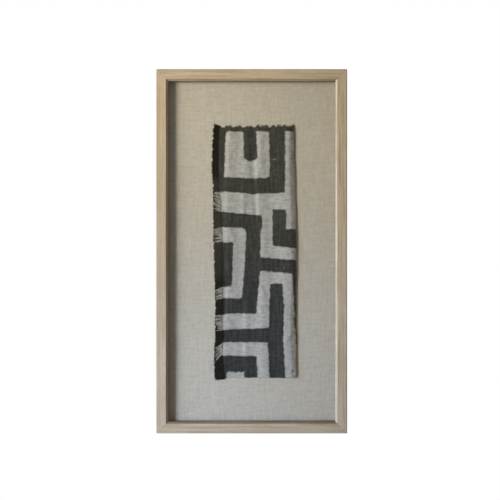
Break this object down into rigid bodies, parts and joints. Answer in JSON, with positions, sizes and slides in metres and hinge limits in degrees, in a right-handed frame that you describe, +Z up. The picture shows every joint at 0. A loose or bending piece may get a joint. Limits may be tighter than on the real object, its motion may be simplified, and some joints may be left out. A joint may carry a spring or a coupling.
{
  "type": "mud cloth in a glazed oak box frame",
  "caption": "Strip of handwoven mud cloth with frayed edges, lying on a linen-covered mount behind glass in a deep mitred oak frame that hangs flat on a wall.",
  "frame": {"origin": "middle of the frame's back, in the plane where it meets the wall", "axes": "+X to the right as seen from the front, +Y into the wall, +Z up the cloth's length"},
  "size_m": [0.5, 0.034, 0.955],
  "materials": {
    "oak": "matt oiled",
    "oak_shaded": "matt, raw",
    "glass": "clear picture glass",
    "linen": "plain woven linen",
    "board_brown": "plain hardboard",
    "cotton_pale": "handspun cotton, painted",
    "cotton_dark": "frayed dyed cotton"
  },
  "bodies": {
    "root": {"rail_left": "oak", "rail_right": "oak", "rail_top": "oak", "rail_bottom": "oak", "glass": "glass", "spacer_left": "oak_shaded", "spacer_right": "oak_shaded", "spacer_top": "oak_shaded", "spacer_bottom": "oak_shaded", "linen_mount": "linen", "back_board": "board_brown", "mud_cloth": "cotton_pale", "fringe_left": "cotton_dark", "fringe_top": "cotton_dark"}
  },
  "joints": []
}
